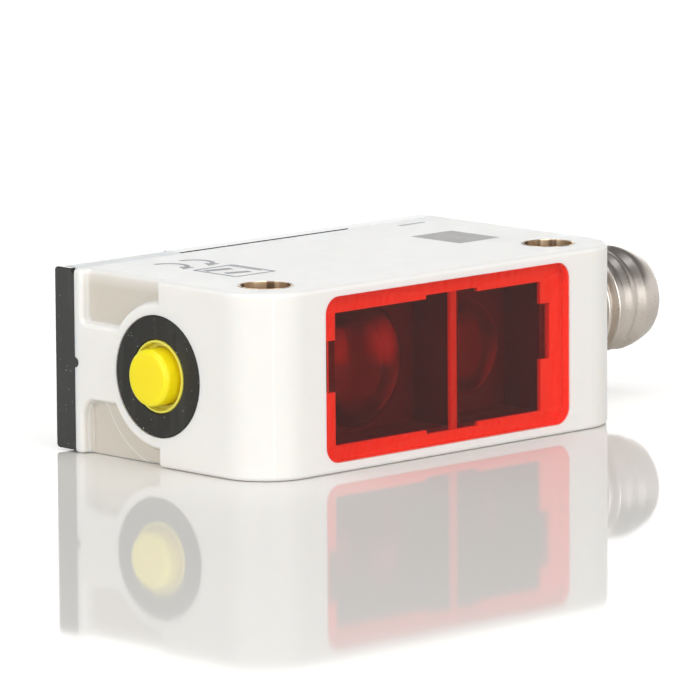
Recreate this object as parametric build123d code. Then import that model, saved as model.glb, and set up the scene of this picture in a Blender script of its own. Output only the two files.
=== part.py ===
"""Miniature photoelectric sensor with a press-to-teach button and an M8 connector.

The sensor lies on its flat side.  Frame, in millimetres:
+X runs from the button end to the connector end, the window faces -Y and +Z points up.
The origin is midway between the two mounting holes, on the side that the sensor rests on.
"""
import os

from build123d import *

# ---------------------------------------------------------------- driving dimensions
HOLE_PITCH = 25.4          # between the two mounting holes
HOLE_RADIUS = 1.6          # clearance for an M3 screw
BODY_LENGTH = 33.0         # button end to connector end
BODY_DEPTH = 17.65         # window face to the cover's joint
BODY_HEIGHT = 12.0         # over the two faces of the bushes
BUSH_PROUD = 0.02          # bushes stand above the plastic on the upper side
BUTTON_SIDE_EDGE = 3.6     # hole centre to the button end
CORNER_RADIUS = 3.55       # upright corners beside the window, round the mounting holes
COVER_THICKNESS = 1.9
EDGE_ROUND = 0.3           # outer edges of the housing
WALL = 1.0

FIT_GAP = 0.03             # between pieces that are pushed or glued together
RUNNING_GAP = 0.05         # radial clearance of the button and its plunger
CLEARANCE = 0.1            # between inner pieces that don't touch
TINY = 0.001               # tolerance when edges are picked by their place
PAST = 1.0                 # how far a cutting tool reaches beyond what it cuts

# ---------------------------------------------------------------- places worked out from them
BUTTON_END = -(HOLE_PITCH / 2 + BUTTON_SIDE_EDGE)
CONNECTOR_END = BUTTON_END + BODY_LENGTH
FACE = -CORNER_RADIUS                  # plane of the window face
JOINT = FACE + BODY_DEPTH              # plane between housing and cover
BACK = JOINT + COVER_THICKNESS
TOP = BODY_HEIGHT - BUSH_PROUD         # upper side of the plastic
MIDDLE = BODY_HEIGHT / 2
HOLES = (-HOLE_PITCH / 2, HOLE_PITCH / 2)

CAVITY_X = (BUTTON_END + 2.4, CONNECTOR_END - 1.2)
CAVITY_Z = (WALL, TOP - WALL)


# ---------------------------------------------------------------- shape helpers
def block(x, y, z):
    """Box between two limits on each axis."""
    centre = Pos((x[0] + x[1]) / 2, (y[0] + y[1]) / 2, (z[0] + z[1]) / 2)
    return centre * Box(x[1] - x[0], y[1] - y[0], z[1] - z[0])


def rod_x(x, radius, axis):
    """Round bar along X, on an axis given as (y, z)."""
    place = Pos(x[0], axis[0], axis[1]) * Rot(0, 90, 0)
    return place * Cylinder(radius, x[1] - x[0], align=(Align.CENTER, Align.CENTER, Align.MIN))


def ring_x(x, outer, inner, axis):
    return rod_x(x, outer, axis) - rod_x(x, inner, axis)


def rod_y(y, radius, axis):
    """Round bar along Y, on an axis given as (x, z)."""
    place = Pos(axis[0], y[0], axis[1]) * Rot(-90, 0, 0)
    return place * Cylinder(radius, y[1] - y[0], align=(Align.CENTER, Align.CENTER, Align.MIN))


def rod_z(z, radius, axis):
    """Round bar along Z, on an axis given as (x, y)."""
    place = Pos(axis[0], axis[1], z[0])
    return place * Cylinder(radius, z[1] - z[0], align=(Align.CENTER, Align.CENTER, Align.MIN))


def panel(x, y, z, corner):
    """Plate square to Y whose four corners are rounded."""
    plate = block(x, y, z)
    return fillet(plate.edges().filter_by(Axis.Y), corner)


def grown(limits, by):
    return (limits[0] - by, limits[1] + by)


def about(centre, half):
    return (centre - half, centre + half)


def turned_x(points, axis):
    """Solid of revolution about an X axis, from (x, radius) points."""
    outline = Polyline(*[(x, r, 0) for x, r in points], close=True)
    solid = revolve(make_face(outline), Axis.X, 360)
    return Pos(0, axis[0], axis[1]) * solid


def front_edges(solid, axis):
    return solid.faces().sort_by(axis)[0].edges()


def back_edges(solid, axis):
    return solid.faces().sort_by(axis)[-1].edges()


# ---------------------------------------------------------------- button
BUTTON_AXIS = (6.25, 5.85)             # y, z
BUTTON_TRAVEL = 0.4
BUTTON_RADIUS = 1.85
BUTTON_PROUD = 0.92                    # cap above the end face
BUTTON_ROUND = 0.34
BOSS_RADIUS = 4.7                      # raised round field that carries the bezel
BEZEL_RADIUS = 3.925
BEZEL_THICKNESS = 1.0
BEZEL_CHAMFER = 0.08
RIM_RADIUS = 2.345                     # yellow rim inside the bezel
RIM_WIDTH = 0.15
RIM_ROUND = 0.05
GROOVE_DEPTH = 0.5                     # between rim and cap
MEMBRANE_FLANGE = 0.4
MEMBRANE_RADIUS = BEZEL_RADIUS - 0.3
BEZEL_FLOOR = BUTTON_END + BEZEL_THICKNESS + MEMBRANE_FLANGE
STEM_HOLE_RADIUS = 2.6
STEM_RADIUS = 0.9
COLLAR_RADIUS = STEM_HOLE_RADIUS - 0.3
COLLAR = 0.4
SWITCH_X = (-12.5, -9.9)
SWITCH_FRONT = 4.5
SWITCH_HALF_HEIGHT = 3.0
SWITCH_ROUND = 0.3
PLUNGER_RADIUS = 0.75
PLUNGER_REACH = 0.8                    # into the switch
STEM_END = SWITCH_X[0] - 0.6


def make_bezel():
    ring = ring_x((BUTTON_END, BUTTON_END + BEZEL_THICKNESS), BEZEL_RADIUS, RIM_RADIUS + FIT_GAP, BUTTON_AXIS)
    return chamfer(front_edges(ring, Axis.X), BEZEL_CHAMFER)


def make_membrane():
    """Sealing ring: a raised rim, a groove inside it and a flange under the bezel."""
    rim = BUTTON_END
    flange = rim + BEZEL_THICKNESS
    floor = rim + GROOVE_DEPTH
    bore = BUTTON_RADIUS + RUNNING_GAP
    inner = RIM_RADIUS - RIM_WIDTH
    profile = ((rim, inner), (rim, RIM_RADIUS - RIM_ROUND), (rim + RIM_ROUND, RIM_RADIUS),
               (flange, RIM_RADIUS), (flange, MEMBRANE_RADIUS), (BEZEL_FLOOR, MEMBRANE_RADIUS),
               (BEZEL_FLOOR, bore), (floor, bore), (floor, inner - RIM_ROUND))
    return turned_x(profile, BUTTON_AXIS)


def make_button():
    """Cap with a rounded front edge, a collar behind the membrane and a stem."""
    collar_front = BEZEL_FLOOR + FIT_GAP
    collar_back = collar_front + COLLAR
    cap = rod_x((BUTTON_END - BUTTON_PROUD, collar_front), BUTTON_RADIUS, BUTTON_AXIS)
    cap = fillet(front_edges(cap, Axis.X), BUTTON_ROUND)
    cap += rod_x((collar_front, collar_back), COLLAR_RADIUS, BUTTON_AXIS)
    return cap + rod_x((collar_back, STEM_END), STEM_RADIUS, BUTTON_AXIS)


def make_plunger():
    return rod_x((STEM_END, SWITCH_X[0] + PLUNGER_REACH), PLUNGER_RADIUS, BUTTON_AXIS)


def make_switch():
    """Push switch standing on the board, with a round well for its plunger."""
    body = block(SWITCH_X, (SWITCH_FRONT, BOARD_Y[0]), about(MIDDLE, SWITCH_HALF_HEIGHT))
    body = fillet(body.edges().filter_by(Axis.X), SWITCH_ROUND)
    well_end = SWITCH_X[0] + PLUNGER_REACH + BUTTON_TRAVEL + CLEARANCE
    return body - rod_x((SWITCH_X[0] - PAST, well_end), PLUNGER_RADIUS + RUNNING_GAP, BUTTON_AXIS)


# ---------------------------------------------------------------- housing
POCKET_DEPTH = 0.65                    # grip recesses beside the button
POCKET_Y = (BUTTON_AXIS[0] + 0.03, JOINT - 0.68)
UPPER_POCKET_Z = (8.55, TOP + PAST)
LOWER_POCKET_Z = (-PAST, 3.6)
UPPER_POCKET_CORNER = 0.4
LOWER_POCKET_CORNER = 1.1
STEP_RADIUS = 6.05                     # shallow round step in the lower pocket
STEP_DEPTH = 0.12
STEP_INSET = 0.32

OPTICS_X = (-9.7, 9.9)                 # narrow front part of the cavity, between the bushes
SHOULDER = 3.1                         # where the cavity widens behind the bushes
REBATE = 0.5                           # step round the cavity's mouth, for gasket and lip
REBATE_FLOOR = JOINT - 1.05

WINDOW_DEPTH = 1.15
WINDOW_CORNER = 1.1
WINDOW_X = (-10.82, 11.03)
WINDOW_Z = (0.7, 11.3)
WINDOW_CHAMFER = 0.06
LEDGE = 0.3                            # thin white frame that the window lies on
SEAT = FACE + WINDOW_DEPTH
LEDGE_BACK = SEAT + LEDGE
APERTURE_X = (-9.36, 9.07)
APERTURE_Z = (1.62, 10.13)
APERTURE_STEP = 0.25                   # the openings are this much taller next to the rib
RIB_X = (0.9, 1.42)                    # rib between the two apertures
LEFT_STEP = 2.2
RIGHT_STEP = 1.9
LEFT_NOTCH_DEPTH = 0.6
LEFT_NOTCH_Z = (5.07, 8.4)
RIGHT_NOTCH_DEPTH = 0.83
RIGHT_NOTCH_Z = (5.0, 8.65)

TONGUE_X = 8.4                         # from here on the joint runs a little further back
TONGUE = 0.35
TONGUE_HEIGHT = 0.45


def corner_pocket(z, open_end, corner):
    """Recess at one corner of the button end, bounded by the round field of the button."""
    outside = (BUTTON_END - PAST, BUTTON_END + POCKET_DEPTH)
    pocket = block(outside, POCKET_Y, z)
    inner_corner = [e for e in pocket.edges().filter_by(Axis.X)
                    if e.center().Y > POCKET_Y[0] + TINY and abs(e.center().Z - open_end) > TINY]
    pocket = fillet(inner_corner, corner)
    pocket -= rod_x(grown(outside, PAST), BOSS_RADIUS, BUTTON_AXIS)
    floor_edges = back_edges(pocket, Axis.X)
    return fillet([e for e in floor_edges if abs(e.center().Z - open_end) > TINY], EDGE_ROUND)


def lies_at(low, high, place):
    return abs(low - place) < TINY and abs(high - place) < TINY


def outer_rims(body):
    """Edges of the two flat sides and of the pockets' mouths, but not those at the joint."""
    rims = []
    for edge in body.edges():
        box = edge.bounding_box()
        on_side = lies_at(box.min.Z, box.max.Z, 0) or lies_at(box.min.Z, box.max.Z, TOP)
        on_end = lies_at(box.min.X, box.max.X, BUTTON_END)
        pocket_mouth = on_end and box.min.Y > POCKET_Y[0] - TINY
        at_joint = box.min.Y > JOINT - TINY
        if (on_side or pocket_mouth) and not at_joint:
            rims.append(edge)
    return rims


def tongue(gap):
    """Strip of the upper wall that reaches a little past the joint near the connector."""
    return block((TONGUE_X - gap, CONNECTOR_END + gap), (JOINT - gap, JOINT + TONGUE + gap),
                 (TOP - TONGUE_HEIGHT - gap, TOP + gap))


def housing_outer():
    """Shell's outside: upright rounded corners at the window and two pockets at the button."""
    body = block((BUTTON_END, CONNECTOR_END), (FACE, JOINT), (0, TOP))
    upright = body.edges().filter_by(Axis.Z).group_by(Axis.Y)[0]
    body = fillet(upright, CORNER_RADIUS)
    body -= corner_pocket(UPPER_POCKET_Z, UPPER_POCKET_Z[1], UPPER_POCKET_CORNER)
    body -= corner_pocket(LOWER_POCKET_Z, LOWER_POCKET_Z[0], LOWER_POCKET_CORNER)
    body += tongue(0)
    return fillet(outer_rims(body), EDGE_ROUND)


def lower_pocket_step():
    """The part of the lower pocket outside the round step is a little deeper."""
    deeper = (BUTTON_END - PAST, BUTTON_END + POCKET_DEPTH + STEP_DEPTH)
    pocket = block(deeper, (POCKET_Y[0], POCKET_Y[1] - STEP_INSET),
                   (LOWER_POCKET_Z[0], LOWER_POCKET_Z[1] - STEP_INSET))
    return pocket - rod_x(grown(deeper, PAST), STEP_RADIUS, BUTTON_AXIS)


def cavity():
    """Inside of the housing, open towards the cover."""
    narrow = block(OPTICS_X, (LEDGE_BACK, SHOULDER + PAST), CAVITY_Z)
    wide = block(CAVITY_X, (SHOULDER, JOINT + PAST), CAVITY_Z)
    mouth = block(grown(CAVITY_X, REBATE), (REBATE_FLOOR, JOINT + PAST), grown(CAVITY_Z, REBATE))
    return narrow + wide + mouth


def aperture(x, notch_x, notch_z, step_x):
    """Opening in the ledge, with a side notch and slightly taller next to the rib."""
    deep = (SEAT - PAST / 2, LEDGE_BACK + PAST / 2)
    opening = block(x, deep, APERTURE_Z)
    opening += block(notch_x, deep, notch_z)
    return opening + block(step_x, deep, grown(APERTURE_Z, APERTURE_STEP))


def make_housing():
    body = housing_outer() - lower_pocket_step()
    body -= cavity()
    body -= panel(grown(WINDOW_X, FIT_GAP), (FACE - PAST, SEAT), grown(WINDOW_Z, FIT_GAP), WINDOW_CORNER)
    body -= aperture((APERTURE_X[0], RIB_X[0]), (APERTURE_X[0] - LEFT_NOTCH_DEPTH, 0), LEFT_NOTCH_Z,
                     (RIB_X[0] - LEFT_STEP, RIB_X[0]))
    body -= aperture((RIB_X[1], APERTURE_X[1]), (RIB_X[1], APERTURE_X[1] + RIGHT_NOTCH_DEPTH),
                     RIGHT_NOTCH_Z, (RIB_X[1], RIB_X[1] + RIGHT_STEP))
    for x in HOLES:
        body -= rod_z((-PAST, TOP + PAST), BUSH_RADIUS + FIT_GAP, (x, 0))
    body -= rod_x((BUTTON_END - PAST, BEZEL_FLOOR), BEZEL_RADIUS + FIT_GAP, BUTTON_AXIS)
    body -= rod_x((BUTTON_END - PAST, CAVITY_X[0] + PAST), STEM_HOLE_RADIUS, BUTTON_AXIS)
    body -= rod_x((CAVITY_X[1] - PAST, CONNECTOR_END + PAST), SHELL_RADIUS + FIT_GAP, CONNECTOR_AXIS)
    body -= rod_x((SHELL_BACK - CLEARANCE, CAVITY_X[1]), FLANGE_RADIUS + FIT_GAP, CONNECTOR_AXIS)
    for x in (BUTTON_END, CONNECTOR_END):
        body -= rod_x(about(x, PAST), NUB_RADIUS + FIT_GAP, (JOINT, NUB_Z))
    return body


# ---------------------------------------------------------------- window, cover, guide and seal
NUB_RADIUS = 0.3                       # half-round locating nubs on the cover's joint
NUB_LENGTH = 1.0
NUB_Z = 5.9
COVER_Z = (0.15, TOP - 0.02)
COVER_ROUND = 0.25                     # along the back
COVER_END_ROUND = 0.12                 # upright back edges
SEAM_CHAMFER = 0.45                    # upper edge of the cover at the joint
LIP_GAP = 0.05
LIP_INSET = 0.4
GASKET = 0.4
GUIDE_X = (BUTTON_END + 0.5, BUTTON_END + 9.4)
GUIDE_Z = 9.6                          # lower end of the light guide
GUIDE_ROUND = 0.6
FOOT_HALF_WIDTH = 0.8
FOOT_LENGTH = 2.0
FOOT_TOP = CAVITY_Z[1] - 0.5
STATUS_X = (GUIDE_X[0] + 2.9, GUIDE_X[1] - 2.2)


def make_front_window():
    plate = panel(WINDOW_X, (FACE, SEAT), WINDOW_Z, WINDOW_CORNER - FIT_GAP)
    return chamfer(front_edges(plate, Axis.Y), WINDOW_CHAMFER)


def light_guide_space(gap):
    return block(grown(GUIDE_X, gap), (JOINT - PAST, BACK + PAST), (GUIDE_Z - gap, TOP + PAST))


def make_rear_cover():
    """Back plate with a lip inside the housing's mouth and two nubs at the joint."""
    plate = block((BUTTON_END, CONNECTOR_END), (JOINT, BACK), COVER_Z)
    plate = chamfer(front_edges(plate, Axis.Y).filter_by(Axis.X).sort_by(Axis.Z)[-1], SEAM_CHAMFER)
    plate = fillet(back_edges(plate, Axis.Y).filter_by(Axis.X), COVER_ROUND)
    plate = fillet(back_edges(plate, Axis.Y).filter_by(Axis.Z), COVER_END_ROUND)
    lip_outer = block(grown(CAVITY_X, REBATE - LIP_GAP), (REBATE_FLOOR + GASKET, JOINT),
                      grown(CAVITY_Z, REBATE - LIP_GAP))
    lip_inner = block(grown(CAVITY_X, -LIP_INSET), (REBATE_FLOOR, JOINT), grown(CAVITY_Z, -LIP_INSET))
    cover = plate + (lip_outer - lip_inner)
    for x in ((BUTTON_END, BUTTON_END + NUB_LENGTH), (CONNECTOR_END - NUB_LENGTH, CONNECTOR_END)):
        cover += rod_x(x, NUB_RADIUS, (JOINT, NUB_Z))
    return cover - light_guide_space(FIT_GAP) - tongue(FIT_GAP)


def make_light_guide():
    """Milky strip let into the cover's upper edge, with two feet over the status diodes."""
    strip = block(GUIDE_X, (JOINT, BACK), (GUIDE_Z, TOP))
    strip = fillet(back_edges(strip, Axis.Y).filter_by(Axis.X).sort_by(Axis.Z)[-1], GUIDE_ROUND)
    for x in STATUS_X:
        foot_depth = (JOINT - FOOT_LENGTH, JOINT + CLEARANCE)
        strip += block(about(x, FOOT_HALF_WIDTH), foot_depth, (GUIDE_Z, FOOT_TOP))
    return strip


def make_cover_gasket():
    outer = block(grown(CAVITY_X, REBATE - FIT_GAP), (REBATE_FLOOR, REBATE_FLOOR + GASKET),
                  grown(CAVITY_Z, REBATE - FIT_GAP))
    return outer - block(CAVITY_X, (REBATE_FLOOR - PAST, JOINT), CAVITY_Z)


# ---------------------------------------------------------------- bushes
BUSH_RADIUS = 1.75
BUSH_CHAMFER = 0.05


def make_bushes():
    """Two flush metal bushes with a small countersink at both ends."""
    bushes = []
    for x in HOLES:
        bush = rod_z((0, BODY_HEIGHT), BUSH_RADIUS, (x, 0))
        bush -= rod_z((-PAST, BODY_HEIGHT + PAST), HOLE_RADIUS, (x, 0))
        mouths = bush.edges().filter_by(GeomType.CIRCLE).filter_by(lambda e: e.radius < BUSH_RADIUS - TINY)
        bushes.append(chamfer(mouths, BUSH_CHAMFER))
    return Compound(children=bushes)


# ---------------------------------------------------------------- connector
CONNECTOR_AXIS = (6.06, 6.42)        # y, z
CONNECTOR_REACH = 9.68                 # beyond the housing
TIP = CONNECTOR_END + CONNECTOR_REACH
THREAD_RADIUS = 3.95                   # outside of the M8 thread
THREAD_X = (CONNECTOR_END + 1.9, CONNECTOR_END + 5.0)
SHELL_RADIUS = 4.0                     # in the end wall's hole
SHELL_COLLAR_RADIUS = 4.3
SHELL_COLLAR = 0.8
RELIEF_RADIUS = 3.4
RELIEF_END = CONNECTOR_END + 1.5
LAND_RADIUS = 3.55
LAND_X = (CONNECTOR_END + 5.4, CONNECTOR_END + 8.2)
TIP_RADIUS = 3.2
EDGE_BREAK = 0.1
SOCKET_RADIUS = 2.85
SOCKET_DEPTH = 5.0
FLANGE_RADIUS = 4.3
SHELL_BACK = CAVITY_X[1] - 0.7
SEAL_GROOVE_X = (CAVITY_X[1] + 0.25, CAVITY_X[1] + 0.95)
SEAL_GROOVE_RADIUS = 3.4
SEAL_SLACK = 0.005
INSERT_FACE = TIP - SOCKET_DEPTH
INSERT_BACK = SHELL_BACK - 0.8
PIN_RADIUS = 0.38
PIN_ROUND = 0.2
PIN_TIP = TIP - 0.9
PIN_TAIL = INSERT_BACK - 0.7
PIN_PLACES = ((-1.25, -0.9), (1.25, -0.9), (-0.95, 1.2), (0.95, 1.2))
LEAD_HALF_WIDTH = 0.15
LEAD_REACH = 0.9


def make_shell():
    """Turned shell: inner flange, seal groove, collar, relief, thread cylinder, land and cone."""
    collar_end = CONNECTOR_END + SHELL_COLLAR
    profile = ((SHELL_BACK, SOCKET_RADIUS), (SHELL_BACK, FLANGE_RADIUS),
               (CAVITY_X[1], FLANGE_RADIUS), (CAVITY_X[1], SHELL_RADIUS),
               (SEAL_GROOVE_X[0], SHELL_RADIUS), (SEAL_GROOVE_X[0], SEAL_GROOVE_RADIUS),
               (SEAL_GROOVE_X[1], SEAL_GROOVE_RADIUS), (SEAL_GROOVE_X[1], SHELL_RADIUS),
               (CONNECTOR_END, SHELL_RADIUS), (CONNECTOR_END, SHELL_COLLAR_RADIUS),
               (collar_end - EDGE_BREAK, SHELL_COLLAR_RADIUS), (collar_end, SHELL_COLLAR_RADIUS - EDGE_BREAK),
               (collar_end, RELIEF_RADIUS), (RELIEF_END, RELIEF_RADIUS),
               (THREAD_X[0], THREAD_RADIUS), (THREAD_X[1], THREAD_RADIUS),
               (LAND_X[0], LAND_RADIUS), (LAND_X[1], LAND_RADIUS),
               (TIP - EDGE_BREAK, TIP_RADIUS), (TIP, TIP_RADIUS - EDGE_BREAK),
               (TIP, SOCKET_RADIUS + EDGE_BREAK), (TIP - EDGE_BREAK, SOCKET_RADIUS))
    return turned_x(profile, CONNECTOR_AXIS)


def pin_axis(place):
    return (CONNECTOR_AXIS[0] + place[0], CONNECTOR_AXIS[1] + place[1])


def make_insert():
    insert = rod_x((INSERT_BACK, INSERT_FACE), SOCKET_RADIUS - FIT_GAP, CONNECTOR_AXIS)
    insert = chamfer(back_edges(insert, Axis.X), EDGE_BREAK)
    for place in PIN_PLACES:
        insert -= rod_x((INSERT_BACK - PAST, INSERT_FACE + PAST), PIN_RADIUS, pin_axis(place))
    return insert


def make_pins():
    pins = []
    for place in PIN_PLACES:
        pin = rod_x((PIN_TAIL, PIN_TIP), PIN_RADIUS, pin_axis(place))
        pins.append(fillet(back_edges(pin, Axis.X), PIN_ROUND))
    return Compound(children=pins)


def make_seal():
    """Ring in the shell's groove, sealing against the hole in the end wall."""
    radius = (SHELL_RADIUS + FIT_GAP - SEAL_GROOVE_RADIUS) / 2
    ring = Torus(SEAL_GROOVE_RADIUS + radius, radius - SEAL_SLACK)
    return Pos(sum(SEAL_GROOVE_X) / 2, *CONNECTOR_AXIS) * Rot(0, 90, 0) * ring


def make_leads():
    """Short bare leads from the pins' tails down to the board's edge."""
    leads = []
    for place in PIN_PLACES:
        y, z = pin_axis(place)
        high = about(z, LEAD_HALF_WIDTH)
        along = block((PIN_TAIL - LEAD_REACH, PIN_TAIL), about(y, LEAD_HALF_WIDTH), high)
        bend = (PIN_TAIL - LEAD_REACH, PIN_TAIL - LEAD_REACH + 2 * LEAD_HALF_WIDTH)
        leads.append(along + block(bend, (y, BOARD_Y[0]), high))
    return Compound(children=leads)


# ---------------------------------------------------------------- optics
BOARD_Y = (9.6, 10.4)
OPTICS_Z = sum(APERTURE_Z) / 2         # height of the optical axes
CARRIER_X = grown(OPTICS_X, -CLEARANCE)
CARRIER_Y = (LEDGE_BACK + FIT_GAP, BOARD_Y[0] - CLEARANCE)
CARRIER_Z = grown(CAVITY_Z, -CLEARANCE)
CARRIER_WALL = 0.5
DIVIDER = (0.95, 1.95)
RECEIVER_X = (CARRIER_X[0] + CARRIER_WALL, DIVIDER[0])
EMITTER_X = (DIVIDER[1], CARRIER_X[1] - CARRIER_WALL)
CHAMBER_Z = grown(CARRIER_Z, -CARRIER_WALL)
RECEIVER_CENTRE = -4.2
EMITTER_CENTRE = 5.3
LENS_RIM = 1.1                         # plane where the domes meet the rims
LENS_BACK = 1.7
RECEIVER_RADIUS = 4.1
EMITTER_RADIUS = 3.4
DOME_HEIGHT = 1.3
LENS_SHELF = 0.3                       # the shelf that a lens lies on is this much smaller
DIODE_WINDOW = 3.8


def dome_lens(centre, radius):
    """Round lens: flat back, short cylindrical rim and a domed front."""
    ball_radius = (radius ** 2 + DOME_HEIGHT ** 2) / (2 * DOME_HEIGHT)
    blank = rod_y((LENS_RIM - DOME_HEIGHT, LENS_BACK), radius, (centre, OPTICS_Z))
    ball = Pos(centre, LENS_RIM - DOME_HEIGHT + ball_radius, OPTICS_Z) * Sphere(ball_radius)
    return blank & ball


def make_carrier():
    """Dark body with two light-tight chambers, a round seat for each lens and a diode window."""
    body = block(CARRIER_X, CARRIER_Y, CARRIER_Z)
    for x, centre, radius in ((RECEIVER_X, RECEIVER_CENTRE, RECEIVER_RADIUS),
                              (EMITTER_X, EMITTER_CENTRE, EMITTER_RADIUS)):
        axis = (centre, OPTICS_Z)
        body -= block(x, (CARRIER_Y[0] - PAST, LENS_RIM), CHAMBER_Z)
        body -= rod_y((LENS_RIM - PAST, LENS_BACK), radius + FIT_GAP, axis)
        body -= rod_y((LENS_BACK - PAST, CARRIER_Y[1] - PAST), radius - LENS_SHELF, axis)
        body -= block(about(centre, DIODE_WINDOW / 2), (LENS_BACK, CARRIER_Y[1] + PAST),
                      about(OPTICS_Z, DIODE_WINDOW / 2))
    return body


def make_receiver_lens():
    return dome_lens(RECEIVER_CENTRE, RECEIVER_RADIUS)


def make_emitter_lens():
    return dome_lens(EMITTER_CENTRE, EMITTER_RADIUS)


# ---------------------------------------------------------------- electronics
BOARD_X = (CAVITY_X[0] + 0.3, SHELL_BACK - 0.3)
BOARD_Z = grown(CAVITY_Z, -0.15)
BOARD_CORNER = 0.5
DIODE = (2.0, 0.7, 2.4)                # width, thickness and height
CAN = (3.2, 1.1, 3.6)
CAN_SHEET = 0.2
CAN_HOLE_RADIUS = 0.7
EMITTER_BASE = (2.4, 0.6, 2.4)
EMITTER_DOME = 0.75
CHIP_X = (-1.5, 2.5)
CHIP_THICKNESS = 0.9
CHIP_HALF_HEIGHT = 2.0
CHIP_CHAMFER = 0.12
SMALL_PART = (1.0, 0.5)                # length and width
SMALL_PART_START = 4.2
SMALL_PART_PITCH = 1.9
SMALL_PARTS_IN_ROW = 5
SMALL_PART_ROWS = (2.2, 9.6)
SMALL_PART_HEIGHTS = (0.45, 0.8)       # resistors and capacitors take turns
COIL_X = (5.5, 9.0)
COIL_THICKNESS = 1.5
COIL_HALF_HEIGHT = 1.4
STATUS_LED_HALF_WIDTH = 0.6
STATUS_LED_THICKNESS = 0.6
STATUS_LED_Z = (GUIDE_Z + 0.1, GUIDE_Z + 0.9)


def on_board_front(centre, size):
    """Box standing on the board's front side, from (width, thickness, height)."""
    width, thickness, height = size
    return block(about(centre, width / 2), (BOARD_Y[0] - thickness, BOARD_Y[0]), about(OPTICS_Z, height / 2))


def make_board():
    board = block(BOARD_X, BOARD_Y, BOARD_Z)
    return fillet(board.edges().filter_by(Axis.Y), BOARD_CORNER)


def make_receiver_diode():
    return on_board_front(RECEIVER_CENTRE, DIODE)


def make_receiver_shield():
    """Folded metal can with a round hole in front of the diode."""
    width, thickness, height = CAN
    inner_size = (width - 2 * CAN_SHEET, thickness - CAN_SHEET, height - 2 * CAN_SHEET)
    inner = on_board_front(RECEIVER_CENTRE, inner_size)
    hole = rod_y((BOARD_Y[0] - thickness - PAST, BOARD_Y[0]), CAN_HOLE_RADIUS, (RECEIVER_CENTRE, OPTICS_Z))
    return on_board_front(RECEIVER_CENTRE, CAN) - inner - hole


def make_emitter_led():
    """Square base with a half-round lens."""
    top_plane = BOARD_Y[0] - EMITTER_BASE[1]
    dome = Pos(EMITTER_CENTRE, top_plane, OPTICS_Z) * Sphere(EMITTER_DOME)
    front_half = rod_y((top_plane - EMITTER_DOME, top_plane), EMITTER_DOME, (EMITTER_CENTRE, OPTICS_Z))
    return on_board_front(EMITTER_CENTRE, EMITTER_BASE) + (dome & front_half)


def make_signal_chip():
    package = block(CHIP_X, (BOARD_Y[1], BOARD_Y[1] + CHIP_THICKNESS), about(MIDDLE, CHIP_HALF_HEIGHT))
    return chamfer(back_edges(package, Axis.Y), CHIP_CHAMFER)


def make_board_components():
    """Two rows of small resistors and capacitors on the board's back, and a coil between them."""
    parts = [block(COIL_X, (BOARD_Y[1], BOARD_Y[1] + COIL_THICKNESS), about(MIDDLE, COIL_HALF_HEIGHT))]
    length, width = SMALL_PART
    for row, z in enumerate(SMALL_PART_ROWS):
        for place in range(SMALL_PARTS_IN_ROW):
            x = SMALL_PART_START + place * SMALL_PART_PITCH
            height = SMALL_PART_HEIGHTS[(place + row) % 2]
            parts.append(block((x, x + length), (BOARD_Y[1], BOARD_Y[1] + height), about(z, width / 2)))
    return Compound(children=parts)


def make_status_leds():
    thick = (BOARD_Y[1], BOARD_Y[1] + STATUS_LED_THICKNESS)
    return Compound(children=[block(about(x, STATUS_LED_HALF_WIDTH), thick, STATUS_LED_Z) for x in STATUS_X])


# ---------------------------------------------------------------- all nodes
NODES = {
    "housing": make_housing,
    "front_window": make_front_window,
    "rear_cover": make_rear_cover,
    "indicator_light_guide": make_light_guide,
    "cover_gasket": make_cover_gasket,
    "mounting_bushes": make_bushes,
    "button_bezel": make_bezel,
    "button_membrane": make_membrane,
    "teach_button": make_button,
    "switch_plunger": make_plunger,
    "teach_switch": make_switch,
    "connector_shell": make_shell,
    "connector_insert": make_insert,
    "contact_pins": make_pins,
    "connector_seal": make_seal,
    "lead_wires": make_leads,
    "optics_carrier": make_carrier,
    "receiver_lens": make_receiver_lens,
    "emitter_lens": make_emitter_lens,
    "receiver_diode": make_receiver_diode,
    "receiver_shield": make_receiver_shield,
    "emitter_led": make_emitter_led,
    "circuit_board": make_board,
    "signal_chip": make_signal_chip,
    "board_components": make_board_components,
    "status_leds": make_status_leds,
}

os.makedirs("parts", exist_ok=True)
for name, make in NODES.items():
    export_step(make(), f"parts/{name}.step")
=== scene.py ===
"""Looks of the photoelectric sensor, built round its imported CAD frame.  Metres throughout."""
import math

import bmesh
import bpy
from mathutils import Matrix, Vector


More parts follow.
